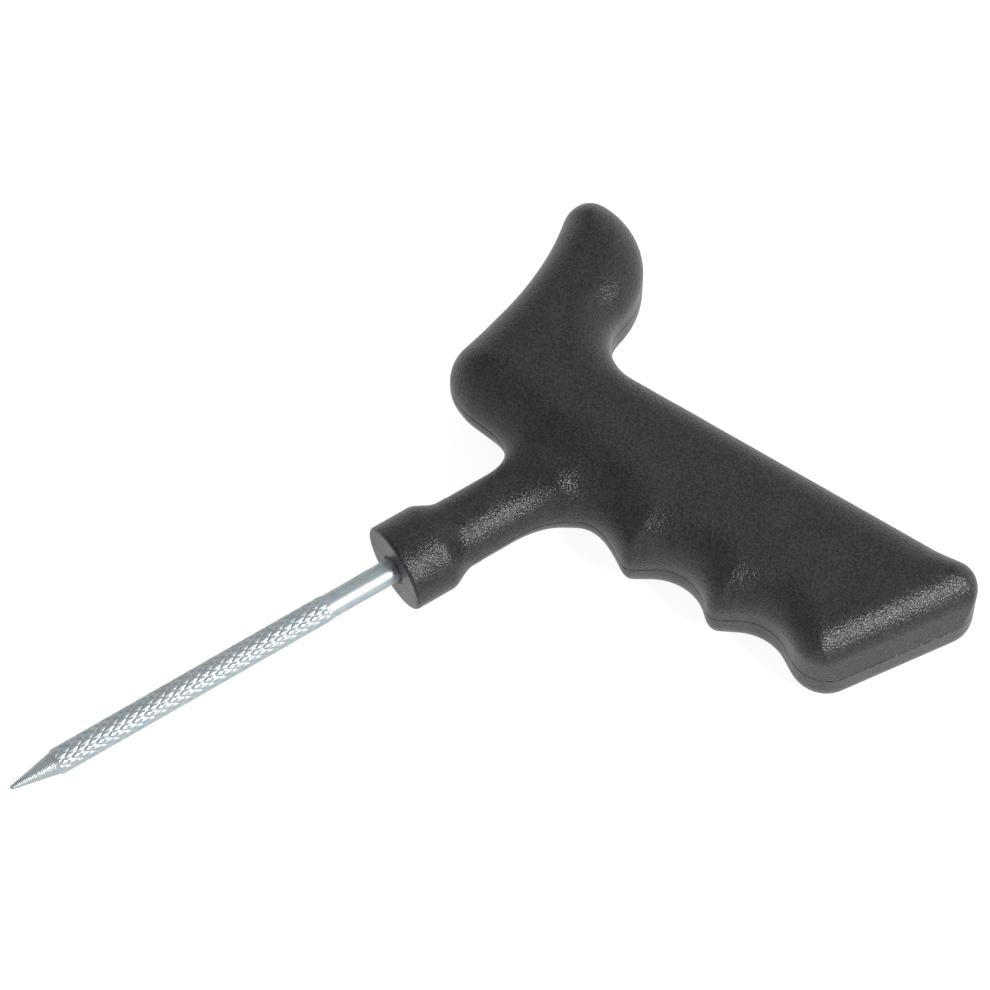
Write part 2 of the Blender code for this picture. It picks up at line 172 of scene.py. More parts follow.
# The eased edge beside the parting gap. It grows from nothing to its full depth between two places along u.
LIP_HEIGHT = 0.00035
LIP_GROWS = (0.010, 0.040)
LIP_DEPTH = 0.00012
# Edges that turn by more degrees than this stay sharp.
SHELL_SHARP = 40
STEEL_SHARP = 35
SHANK_SHARP = 38
# Longer than anything on the tool, for cutters that pass right through.
BIG = 0.3

# Tool coordinates are the frame's coordinates moved by this.
shank_low, shank_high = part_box("shank")
TOOL_ORIGIN = Vector(
    (
        shank_high.x - TANG_END,
        (shank_low.y + shank_high.y) / 2,
        (shank_low.z + shank_high.z) / 2,
    )
)


# ---- Outlines and fields ----


def rounded_outline(corners, closed=True):
    """Points along a polygon whose corners (u, v, radius) are rounded by arcs."""
    points = []
    count = len(corners)
    for i, (u, v, radius) in enumerate(corners):
        corner = Vector((u, v))
        if radius == 0 or (not closed and i in (0, count - 1)):
            points.append(corner)
            continue
        arriving = (corner - Vector(corners[i - 1][:2])).normalized()
        leaving = (Vector(corners[(i + 1) % count][:2]) - corner).normalized()
        turn = math.atan2(arriving.cross(leaving), arriving.dot(leaving))
        start = corner - arriving * radius * math.tan(abs(turn) / 2)
        centre = start + Vector((-arriving.y, arriving.x)) * math.copysign(radius, turn)
        steps = max(2, math.ceil(abs(turn) / ARC_STEP))
        for k in range(steps + 1):
            points.append(centre + Matrix.Rotation(turn * k / steps, 2) @ (start - centre))
    return np.array([tuple(point) for point in points])


def depth_inside(points, outline):
    """Distance from each 2-D point to a closed outline, positive inside it."""
    ends = np.roll(outline, -1, axis=0)
    along = ends - outline
    from_start = points[:, None, :] - outline[None, :, :]
    share = (from_start * along).sum(axis=2) / (along * along).sum(axis=1)
    nearest = from_start - np.clip(share, 0, 1)[:, :, None] * along
    distance = np.sqrt((nearest * nearest).sum(axis=2).min(axis=1))
    crosses = (outline[:, 1] > points[:, None, 1]) != (ends[:, 1] > points[:, None, 1])
    with np.errstate(divide="ignore", invalid="ignore"):
        crossing = outline[:, 0] + along[:, 0] * (points[:, None, 1] - outline[:, 1]) / along[:, 1]
    inside = (crosses & (points[:, None, 0] < crossing)).sum(axis=1) % 2 == 1
    return np.where(inside, distance, -distance)


class DepthMap:
    """An outline's depth on a square grid, read back by bilinear interpolation, with its creases softened."""

    def __init__(self, outline, step, soften):
        self.step = step
        self.low = outline.min(axis=0) - MAP_MARGIN
        size = np.ceil((outline.max(axis=0) + MAP_MARGIN - self.low) / step).astype(int) + 1
        xs = self.low[0] + step * np.arange(size[0])
        ys = self.low[1] + step * np.arange(size[1])
        rows = [depth_inside(np.column_stack((np.full(size[1], x), ys)), outline) for x in xs]
        depth = np.array(rows)
        for _ in range(soften):
            for axis in (0, 1):
                padded = np.concatenate((depth.take([0], axis), depth, depth.take([-1], axis)), axis)
                count = depth.shape[axis]
                before = padded.take(range(count), axis)
                after = padded.take(range(2, count + 2), axis)
                depth = (before + 2 * depth + after) / 4
        self.depth = depth

    def __call__(self, x, y):
        most = np.array(self.depth.shape) - MAP_END_CELLS
        gx = np.clip((x - self.low[0]) / self.step, 0, most[0])
        gy = np.clip((y - self.low[1]) / self.step, 0, most[1])
        i = gx.astype(int)
        j = gy.astype(int)
        fx = gx - i
        fy = gy - j
        near = self.depth[i, j] * (1 - fy) + self.depth[i, j + 1] * fy
        far = self.depth[i + 1, j] * (1 - fy) + self.depth[i + 1, j + 1] * fy
        return near * (1 - fx) + far * fx


def neck_outline():
    """The neck's profile mirrored across its axis, so that it closes."""
    upper = list(NECK_CORNERS)
    lower = [(u, -r, rounding) for u, r, rounding in NECK_CORNERS]
    return rounded_outline(lower + upper[::-1])


BODY_OUTLINE = rounded_outline(BODY_CORNERS)
body_depth = DepthMap(BODY_OUTLINE, MAP_STEP, MAP_SOFTEN)
neck_depth = DepthMap(neck_outline(), MAP_STEP, 0)


def smooth_ramp(value, low, high):
    """0 below low, 1 above high, and a smooth S between them."""
    share = np.clip((value - low) / (high - low), 0, 1)
    return share * share * (3 - 2 * share)


def depth_from_butt(u, v):
    """Depth behind the straight line of the butt's edge."""
    (u0, v0, _), (u1, v1, _) = BODY_CORNERS[:2]
    length = math.hypot(u1 - u0, v1 - v0)
    return ((u1 - u0) * (v - v0) - (v1 - v0) * (u - u0)) / length


def body_field(u, v, z):
    """Below 0 inside the body: the outline thickened both ways, with rounded edges up to its flat sides."""
    butt = depth_from_butt(u, v)
    depth = np.minimum(body_depth(u, v), butt - BUTT_LEAN * np.maximum(z, 0))
    wall = WALL_AT_BUMP + (WALL_AT_BUTT - WALL_AT_BUMP) * smooth_ramp(u, WALL_GROWS_FROM_U, WALL_GROWS_TO_U)
    wall = wall - WALL_LOSS_AT_TAIL * smooth_ramp(v, WALL_FALLS_FROM_V, WALL_FALLS_TO_V)
    wall = np.maximum(wall, WALL_AT_BUMP)
    wall = wall + np.where(z > 0, BUTT_WALL_GAIN * (1 - smooth_ramp(butt, BUTT_NEAR, BUTT_FAR)), 0)
    rounding = HALF_THICKNESS - wall
    inset = rounding - depth
    rise = np.abs(z) - wall
    corner = np.hypot(np.maximum(inset, 0), np.maximum(rise, 0))
    return corner + np.minimum(np.maximum(inset, rise), 0) - rounding


def handle_field(points):
    """Below 0 inside the handle: its body and its neck, melted together where they meet."""
    u, v, z = points.T
    body = body_field(u, v, z)
    neck = -neck_depth(u, np.hypot(v, z))
    under = smooth_ramp(-v, -BLEND_CHANGES_WITHIN, BLEND_CHANGES_WITHIN)
    blend = BLEND_OVER_NECK + (BLEND_UNDER_NECK - BLEND_OVER_NECK) * under
    overlap = np.maximum(blend - np.abs(body - neck), 0) / blend
    return np.minimum(body, neck) - overlap * overlap * blend / 4


# ---- Mesh helpers ----


def new_object(name, mesh):
    obj = bpy.data.objects.new(name, mesh)
    bpy.context.scene.collection.objects.link(obj)
    return obj


def object_from(name, verts, faces):
    mesh = bpy.data.meshes.new(name)
    mesh.from_pydata([tuple(v) for v in verts], [], faces)
    shape = bmesh.new()
    shape.from_mesh(mesh)
    bmesh.ops.recalc_face_normals(shape, faces=shape.faces)
    shape.to_mesh(mesh)
    shape.free()
    return new_object(name, mesh)


def prism(name, outline, low, high):
    """The outline extruded from z = low to z = high."""
    count = len(outline)
    verts = [(u, v, z) for z in (low, high) for u, v in outline]
    sides = [(i, (i + 1) % count, count + (i + 1) % count, count + i) for i in range(count)]
    caps = [tuple(range(count))[::-1], tuple(range(count, 2 * count))]
    return object_from(name, verts, sides + caps)


def box(name, low, high):
    (u0, v0, z0), (u1, v1, z1) = low, high
    return prism(name, ((u0, v0), (u1, v0), (u1, v1), (u0, v1)), z0, z1)


AXIS_TURNS = {
    "X": Matrix.Rotation(math.pi / 2, 4, "Y"),
    "Y": Matrix.Rotation(-math.pi / 2, 4, "X"),
    "Z": Matrix.Identity(4),
}


def turned(name, profile, place=(0, 0, 0), along="Z", sides=48):
    """A solid turned about an axis from (distance along the axis, radius) pairs, capped at both ends."""
    matrix = Matrix.Translation(place) @ AXIS_TURNS[along]
    angles = [2 * math.pi * (i + 0.5) / sides for i in range(sides)]
    verts = [matrix @ Vector((r * math.cos(a), r * math.sin(a), h)) for h, r in profile for a in angles]
    faces = []
    for first in range(0, len(verts) - sides, sides):
        for i in range(sides):
            j = (i + 1) % sides
            faces.append((first + i, first + j, first + sides + j, first + sides + i))
    faces.append(tuple(range(sides))[::-1])
    faces.append(tuple(range(len(verts) - sides, len(verts))))
    return object_from(name, verts, faces)


def apply_modifiers(obj):
    bpy.context.view_layer.update()
    graph = bpy.context.evaluated_depsgraph_get()
    obj.data = bpy.data.meshes.new_from_object(obj.evaluated_get(graph))
    obj.modifiers.clear()


def cut(obj, *cutters):
    """Cuts each closed cutter out of a closed object, and removes the cutters."""
    for cutter in cutters:
        modifier = obj.modifiers.new("cut", "BOOLEAN")
        modifier.operation = "DIFFERENCE"
        modifier.solver = "MANIFOLD"
        modifier.object = cutter
        apply_modifiers(obj)
        bpy.data.objects.remove(cutter, do_unlink=True)


def voxel_remesh(obj, voxel):
    remesh = obj.modifiers.new("remesh", "REMESH")
    remesh.mode = "VOXEL"
    remesh.voxel_size = voxel
    apply_modifiers(obj)


def vertex_array(obj):
    flat = np.empty(len(obj.data.vertices) * 3)
    obj.data.vertices.foreach_get("co", flat)
    return flat.reshape(-1, 3)


def settle_on_level(obj, level):
    """Moves every vertex along the field's slope until the field has the given level there."""
    points = vertex_array(obj)
    offsets = np.eye(3) * GRADIENT_STEP
    for _ in range(SETTLE_STEPS):
        miss = handle_field(points) - level
        slope = np.column_stack([handle_field(points + o) - handle_field(points - o) for o in offsets])
        slope /= 2 * GRADIENT_STEP
        steepness = np.maximum((slope * slope).sum(axis=1), LEAST_SLOPE_SQUARED)
        points = points - slope * (miss / steepness)[:, None]
    obj.data.vertices.foreach_set("co", points.ravel())
    obj.data.update()


def smooth_shaded(obj, sharp_degrees):
    obj.data.shade_smooth()
    obj.data.set_sharp_from_angle(angle=math.radians(sharp_degrees))


def place_piece(obj, material, node):
    """Moves a piece from tool coordinates into the frame, and puts it in a CAD node's place."""
    obj.data.transform(Matrix.Translation(TOOL_ORIGIN))
    obj.data.materials.clear()
    obj.data.materials.append(material)
    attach(obj, "root")
    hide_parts(node)


# ---- Handle shells ----


def handle_solid(name, level, *voxels):
    """The closed surface where the field has a level: 0 is the handle's skin, and below 0 lies inside it."""
    solid = prism(name, BODY_OUTLINE, -HALF_THICKNESS, HALF_THICKNESS)
    neck = turned(name + "_neck", ((0.0, NECK_RADIUS), (NECK_END, NECK_RADIUS)), along="X")
    join = solid.modifiers.new("join", "BOOLEAN")
    join.operation = "UNION"
    join.object = neck
    apply_modifiers(solid)
    bpy.data.objects.remove(neck, do_unlink=True)
    for voxel in voxels:
        voxel_remesh(solid, voxel)
        settle_on_level(solid, level)
    return solid


def collar_profile():
    """The collar's and the neck's turned profile, with rings as close together as the skin's mesh."""
    curve = [(u, r) for u, r in rounded_outline(NECK_CORNERS, closed=False) if u < COLLAR_JOIN_U]
    curve[0] = (NECK_CORNERS[0][2], COLLAR_RADIUS)
    profile = []
    for (u0, r0), (u1, r1) in zip(curve, curve[1:] + [(COLLAR_JOIN_U, NECK_RADIUS)]):
        steps = max(1, round(math.hypot(u1 - u0, r1 - r0) / SKIN_VOXEL))
        profile += [(u0 + (u1 - u0) * k / steps, r0 + (r1 - r0) * k / steps) for k in range(steps)]
    return profile


def corner_arc_profile():
    """The rounded edge between the collar's flat face and its side."""
    radius = NECK_CORNERS[0][2]
    arc = []
    for k in range(CORNER_STEPS + 1):
        angle = math.pi / 2 * k / CORNER_STEPS
        arc.append((radius - radius * math.cos(angle), COLLAR_RADIUS - radius + radius * math.sin(angle)))
    return arc


def add_collar(form):
    """Swaps the front of the neck for a crisply turned collar, stitched to the skin ring to ring."""
    shape = bmesh.new()
    shape.from_mesh(form.data)
    bmesh.ops.bisect_plane(
        shape,
        geom=shape.verts[:] + shape.edges[:] + shape.faces[:],
        plane_co=(COLLAR_JOIN_U, 0, 0),
        plane_no=(1, 0, 0),
        clear_inner=True,
    )
    skin_ring = [edge for edge in shape.edges if edge.is_boundary]
    flat = [(0.0, COLLAR_RADIUS * share) for share in FACE_RINGS]
    profile = flat + corner_arc_profile()[:-1] + collar_profile()
    angles = [2 * math.pi * i / COLLAR_SIDES for i in range(COLLAR_SIDES)]
    rings = []
    for u, r in profile:
        if u < COLLAR_JOIN_U - SKIN_VOXEL / 2:
            rings.append([shape.verts.new((u, r * math.cos(a), r * math.sin(a))) for a in angles])
    for near, far in zip(rings, rings[1:]):
        for i in range(COLLAR_SIDES):
            j = (i + 1) % COLLAR_SIDES
            shape.faces.new((near[i], near[j], far[j], far[i]))
    shape.faces.new(rings[0])
    last = rings[-1]
    collar_ring = [shape.edges.get((last[i], last[(i + 1) % COLLAR_SIDES])) for i in range(COLLAR_SIDES)]
    bmesh.ops.bridge_loops(shape, edges=skin_ring + collar_ring)
    bmesh.ops.recalc_face_normals(shape, faces=shape.faces)
    shape.to_mesh(form.data)
    shape.free()


def half_of(form, name, side):
    """One half of the handle's form, closed at the parting plane, with its edge eased beside the gap."""
    shape = bmesh.new()
    shape.from_mesh(form.data)
    rim = side * PARTING_GAP / 2
    for height, clears in ((rim, True), (rim + side * LIP_HEIGHT, False)):
        bmesh.ops.bisect_plane(
            shape,
            geom=shape.verts[:] + shape.edges[:] + shape.faces[:],
            plane_co=(0, 0, height),
            plane_no=(0, 0, side),
            clear_inner=clears,
        )
    ring = [edge for edge in shape.edges if edge.is_boundary]
    rim_verts = {vert for edge in ring for vert in edge.verts}
    for vert in rim_verts:
        normal = Vector((vert.normal.x, vert.normal.y, 0))
        vert.co -= normal.normalized() * LIP_DEPTH * float(smooth_ramp(vert.co.x, *LIP_GROWS))
    bmesh.ops.holes_fill(shape, edges=ring)
    bmesh.ops.triangulate(shape, faces=[face for face in shape.faces if len(face.verts) > 4])
    bmesh.ops.recalc_face_normals(shape, faces=shape.faces)
    mesh = bpy.data.meshes.new(name)
    shape.to_mesh(mesh)
    shape.free()
    return new_object(name, mesh)


def hollow():
    """The space inside the handle, less the spine round the tang and the screws' bosses."""
    space = handle_solid("hollow", -WALL_THICKNESS, CORE_VOXEL, CORE_VOXEL)
    cut(space, box("spine", (-BIG, -SPINE_HALF_WIDTH, -BIG), (SPINE_END, SPINE_HALF_WIDTH, BIG)))
    for u, v in SCREW_PLACES:
        cut(space, turned("boss", ((-BIG, BOSS_RADIUS), (BIG, BOSS_RADIUS)), place=(u, v, 0.0)))
    return space


def shank_seat_cutters():
    """The shank's bore with its flared mouth, the pocket for the tang's flats, and the pin's pocket."""
    bore = SHANK_RADIUS + FIT_GAP
    pin = PIN_RADIUS + FIT_GAP
    pin_half = PIN_HALF_LENGTH + FIT_GAP
    flat = TANG_FLAT_HALF + FIT_GAP
    channel = ((-BIG, bore), (-MOUTH_DEPTH, MOUTH_RADIUS), (0.0, MOUTH_RADIUS), (MOUTH_DEPTH, bore))
    channel += ((TANG_FLAT_START + FIT_GAP, bore),)
    return (
        turned("channel", channel, along="X"),
        box("tang_pocket", (TANG_FLAT_START - FIT_GAP, -bore, -flat), (TANG_END + FIT_GAP, bore, flat)),
        turned("pin_pocket", ((-pin_half, pin), (pin_half, pin)), place=(PIN_U, 0.0, 0.0), along="Y"),
    )


def make_shells(material_upper, lower_material_painted_lighter):
    """Both halves of the handle, hollow, with the seats for the shank, the pin and the screws cut out."""
    form = handle_solid("form", -SKIN_INSET, ROUGH_VOXEL, SKIN_VOXEL)
    add_collar(form)
    shells = (half_of(form, "grip_upper", 1), half_of(form, "grip_lower", -1))
    space = hollow()
    for shell in shells:
        cut(shell, new_object("space", space.data.copy()), *shank_seat_cutters())
    upper, lower = shells
    for u, v in SCREW_PLACES:
        cut(upper, turned("pilot", ((-BIG, PILOT_RADIUS), (PILOT_TOP_Z, PILOT_RADIUS)), place=(u, v, 0.0)))
        hole = (
            (-BIG, COUNTERBORE_RADIUS),
            (SCREW_SEAT_Z, COUNTERBORE_RADIUS),
            (SCREW_SEAT_Z, CLEARANCE_RADIUS),
            (BIG, CLEARANCE_RADIUS),
        )
        cut(lower, turned("screw_hole", hole, place=(u, v, 0.0)))
    for helper in (form, space):
        bpy.data.objects.remove(helper, do_unlink=True)
    for shell in shells:
        smooth_shaded(shell, SHELL_SHARP)
    place_piece(upper, material_upper, "upper_shell")
    place_piece(lower, lower_material_painted_lighter, "lower_shell")


# ---- Shank ----

# The knurl: grooves each way round, mesh cells from one groove to the next, the grooves' angle to the shank,
# their depth, the share of the pitch that a groove takes up, its sharpness, and the length of its run-out.
KNURL_STARTS = 11
KNURL_CELLS = 8
KNURL_ANGLE = math.radians(30)
KNURL_DEPTH = 0.00020
KNURL_GROOVE_SHARE = 0.52
KNURL_GROOVE_POWER = 0.8
KNURL_FADE = 0.0012
SHANK_SIDES = KNURL_STARTS * KNURL_CELLS
# The tool marks on the ground point: two waves along it, the second longer and fainter.
TURNING_PITCH = 0.00042
TURNING_DEPTH = 0.000032
SECOND_WAVE_PITCH = 2.7 * TURNING_PITCH
SECOND_WAVE_SHARE = 0.6
TURNING_FADE_AT_TIP = 0.0020
TURNING_FADE_AT_KNURL = 0.0006
# The nose, and the mesh of the point: finer over the nose, and ending just before the knurl's own rings.
NOSE_LENGTH = 1.4 * TIP_RADIUS
NOSE_FINE_LENGTH = 0.0008
FIRST_RING = 0.00004
CONE_STEP = 0.00007
CONE_RINGS_END = KNURL_START - 0.0008
PLAIN_RINGS = (
    KNURL_END + 0.0003,
    -0.012,
    -0.008,
    -0.004,
    0.0,
    0.020,
    TANG_FLAT_START,
    TANG_END - TANG_CHAMFER,
)


def cone_radius(u):
    """Radius of the ground point at u: a straight cone, ending in a small round nose."""
    share = (u + SHANK_REACH) / (KNURL_START + SHANK_REACH)
    radius = TIP_RADIUS + (CONE_RADIUS - TIP_RADIUS) * share
    nose = np.clip((u + SHANK_REACH) / NOSE_LENGTH, 0, 1)
    return radius * np.sqrt(nose * (2 - nose))


def knurl_cut(u, angle):
    """Depth of the two crossing helical grooves at u and angle, as a share of the full depth."""
    twist = (u - KNURL_START) * math.tan(KNURL_ANGLE) / KNURL_RADIUS
    deepest = np.zeros(np.broadcast(u, angle).shape)
    for hand in (1, -1):
        phase = KNURL_STARTS * (angle + hand * twist) / (2 * math.pi)
        distance = np.abs(phase - np.round(phase)) * 2
        groove = np.clip(1 - distance / KNURL_GROOVE_SHARE, 0, 1)
        deepest = np.maximum(deepest, groove**KNURL_GROOVE_POWER)
    return deepest


def turning_marks(u, angle):
    """Height of the tool marks on the point, as a share of their depth, fading out at both of its ends."""
    marks = np.sin(2 * math.pi * (u / TURNING_PITCH + angle / (2 * math.pi)))
    marks = marks + SECOND_WAVE_SHARE * np.sin(2 * math.pi * u / SECOND_WAVE_PITCH)
    from_tip = smooth_ramp(u + SHANK_REACH, 0, TURNING_FADE_AT_TIP)
    from_knurl = smooth_ramp(KNURL_START - u, 0, TURNING_FADE_AT_KNURL)
    return marks * from_tip * from_knurl


def shank_radius(u, angle):
    """The bar's radius: the knurled length meets the point at one end and runs out into the neck."""
    crest = KNURL_RADIUS - KNURL_DEPTH * knurl_cut(u, angle)
    fade = smooth_ramp(u, KNURL_END - KNURL_FADE, KNURL_END)
    body = crest + (SHANK_RADIUS - crest) * fade
    point = cone_radius(u) + TURNING_DEPTH * turning_marks(u, angle)
    return np.minimum(body, point + np.maximum(u - KNURL_START, 0))


def shank_rings():
    """(u, stagger) of each ring of vertices. On the knurl, every second ring is turned by half a cell, so
    that the mesh follows the grooves."""
    rings = []
    u = -SHANK_REACH + FIRST_RING
    while u < CONE_RINGS_END:
        rings.append((u, 0.0))
        u += CONE_STEP if u > -SHANK_REACH + NOSE_FINE_LENGTH else CONE_STEP / 2
    step = 2 * math.pi * KNURL_RADIUS / SHANK_SIDES / 2 / math.tan(KNURL_ANGLE)
    first = math.ceil((u - KNURL_START) / step)
    last = math.floor((KNURL_END - KNURL_START) / step)
    rings += [(KNURL_START + k * step, 0.5 * (k % 2)) for k in range(first, last + 1)]
    stagger = rings[-1][1]
    return rings + [(place, stagger) for place in PLAIN_RINGS]


def ring_faces(rings):
    """Faces from each ring to the next: squares, or triangles where the next ring is turned half a cell."""
    faces = []
    for ring in range(len(rings) - 1):
        here = ring * SHANK_SIDES
        there = here + SHANK_SIDES
        shift = round(2 * (rings[ring + 1][1] - rings[ring][1]))
        for i in range(SHANK_SIDES):
            j = (i + 1) % SHANK_SIDES
            if shift == 0:
                faces.append((here + i, here + j, there + j, there + i))
            elif shift == 1:
                faces.append((here + i, here + j, there + i))
                faces.append((here + j, there + j, there + i))
            else:
                faces.append((here + i, there + j, there + i))
                faces.append((here + i, here + j, there + j))
    return faces


def make_shank(material):
    """One bar: a ground point, a knurled length, a plain neck, and a tang with two flats and a cross hole."""
    rings = shank_rings()
    us = np.array([u for u, _ in rings])[:, None]
    staggers = np.array([stagger for _, stagger in rings])[:, None]
    angles = 2 * math.pi * (np.arange(SHANK_SIDES)[None, :] + staggers) / SHANK_SIDES
    radii = np.where(us > KNURL_END, SHANK_RADIUS, shank_radius(us, angles))
    along = np.broadcast_to(us, radii.shape)
    points = np.stack((along, radii * np.cos(angles), radii * np.sin(angles)), axis=2)
    verts = points.reshape(-1, 3).tolist()
    faces = ring_faces(rings)
    sides = SHANK_SIDES
    tip = len(verts)
    verts.append((-SHANK_REACH, 0.0, 0.0))
    faces += [(tip, (i + 1) % sides, i) for i in range(sides)]
    back = len(verts)
    end_radius = SHANK_RADIUS - TANG_CHAMFER
    verts += [(TANG_END, end_radius * math.cos(a), end_radius * math.sin(a)) for a in angles[-1]]
    here = (len(rings) - 1) * sides
    faces += [(here + i, here + (i + 1) % sides, back + (i + 1) % sides, back + i) for i in range(sides)]
    faces.append(tuple(range(back, back + sides)))
    bar = object_from("probe_shank", verts, faces)
    hole = PIN_RADIUS + FIT_GAP
    cut(bar, turned("pin_hole", ((-BIG, hole), (BIG, hole)), place=(PIN_U, 0.0, 0.0), along="Y"))
    for low, high in ((-BIG, -TANG_FLAT_HALF), (TANG_FLAT_HALF, BIG)):
        cut(bar, box("flat", (TANG_FLAT_START, -BIG, low), (BIG, BIG, high)))
    smooth_shaded(bar, SHANK_SHARP)
    place_piece(bar, material, "shank")


# ---- Screws and cross pin ----

SCREW_SIDES = 40
THREAD_PITCH = 0.00125
THREAD_DEPTH = 0.00032
# Rings in each turn of thread, and how fast its flanks fall from the crest to the root.
THREAD_RINGS = 10
THREAD_FLANK = 1.6
# The tip narrows over this length, to this share of the full radius.
SCREW_TAPER_LENGTH = 0.003
SCREW_BLUNT = 0.12
# The head: the flat face's share of its radius, and the share of its height that is rounded.
HEAD_FACE_SHARE = 0.55
HEAD_ROUND_SHARE = 0.7
HEAD_STEPS = 8
# The cross recess: half of an arm's length and width, the depth, and the share left at the floor.
RECESS_ARM = 0.0017
RECESS_HALF_WIDTH = 0.0004
RECESS_DEPTH = 0.0014
RECESS_CLEAR = 0.001
RECESS_TAPER = 0.7
PIN_ROUNDING = 0.0004
PIN_BEVEL_SHARE = 0.3


def screw_head(face, seat):
    """(height, radius) up the head, from the flat middle of its face to the shaft under its seat."""
    head = []
    for k in range(HEAD_STEPS + 1):
        angle = math.pi / 2 * k / HEAD_STEPS
        radius = SCREW_HEAD_RADIUS * (HEAD_FACE_SHARE + (1 - HEAD_FACE_SHARE) * math.sin(angle))
        head.append((face + SCREW_HEAD_HEIGHT * HEAD_ROUND_SHARE * (1 - math.cos(angle)), radius))
    return head + [(seat, SCREW_HEAD_RADIUS), (seat, SCREW_RADIUS)]


def thread_ring(height):
    """(height, radius) round the threaded shaft at a height, narrowing towards the tip."""
    taper = min(1.0, (SCREW_TIP_Z - height) / SCREW_TAPER_LENGTH + SCREW_BLUNT)
    ring = []
    for i in range(SCREW_SIDES):
        phase = (height / THREAD_PITCH + i / SCREW_SIDES) % 1
        valley = min(1.0, abs(phase - 0.5) * 2 * THREAD_FLANK)
        ring.append((height, (SCREW_RADIUS - THREAD_DEPTH * valley) * taper))
    return ring


def make_screw(index, place, material):
    """A pan-head self-tapping screw with a cross recess and a real helical thread."""
    seat = SCREW_SEAT_Z - FIT_GAP
    face = seat - SCREW_HEAD_HEIGHT
    count = round((SCREW_TIP_Z - seat) / THREAD_PITCH * THREAD_RINGS)
    rings = [[level] * SCREW_SIDES for level in screw_head(face, seat)]
    rings += [thread_ring(seat + (SCREW_TIP_Z - seat) * k / count) for k in range(1, count)]
    verts = []
    for ring in rings:
        for i, (height, radius) in enumerate(ring):
            angle = 2 * math.pi * i / SCREW_SIDES
            verts.append((place[0] + radius * math.cos(angle), place[1] + radius * math.sin(angle), height))
    faces = []
    for first in range(0, len(verts) - SCREW_SIDES, SCREW_SIDES):
        for i in range(SCREW_SIDES):
            j = (i + 1) % SCREW_SIDES
            faces.append((first + i, first + j, first + SCREW_SIDES + j, first + SCREW_SIDES + i))
    faces.append(tuple(range(SCREW_SIDES))[::-1])
    faces.append(tuple(range(len(verts) - SCREW_SIDES, len(verts))))
    screw = object_from(f"housing_screw_{index}", verts, faces)
    cut(screw, *cross_recess(place, face))
    smooth_shaded(screw, STEEL_SHARP)
    place_piece(screw, material, f"screw_{index}")


def cross_recess(place, face):
    """Cutters for two tapered slots at right angles, from outside the head's face to the recess's floor."""
    u, v = place
    levels = ((face - RECESS_CLEAR, 1.0), (face + RECESS_DEPTH, RECESS_TAPER))
    corners = ((-1, -1), (1, -1), (1, 1), (-1, 1))
    sides = [(i, (i + 1) % 4, 4 + (i + 1) % 4, 4 + i) for i in range(4)]
    cutters = []
    for wide, tall in ((RECESS_HALF_WIDTH, RECESS_ARM), (RECESS_ARM, RECESS_HALF_WIDTH)):
        verts = [(u + a * wide * share, v + b * tall * share, z) for z, share in levels for a, b in corners]
        cutters.append(object_from("recess", verts, sides + [(3, 2, 1, 0), (4, 5, 6, 7)]))
    return cutters


def make_pin(material):
    """The cross pin, with rounded ends."""
    inner = PIN_ROUNDING * PIN_BEVEL_SHARE
    profile = [
        (-PIN_HALF_LENGTH, PIN_RADIUS - PIN_ROUNDING),
        (-PIN_HALF_LENGTH + inner, PIN_RADIUS - inner),
        (-PIN_HALF_LENGTH + PIN_ROUNDING, PIN_RADIUS),
    ]
    profile += [(-height, radius) for height, radius in reversed(profile)]
    pin = turned("tang_pin", profile, place=(PIN_U, 0.0, 0.0), along="Y")
    smooth_shaded(pin, STEEL_SHARP)
    place_piece(pin, material, "cross_pin")


# ---- Materials ----


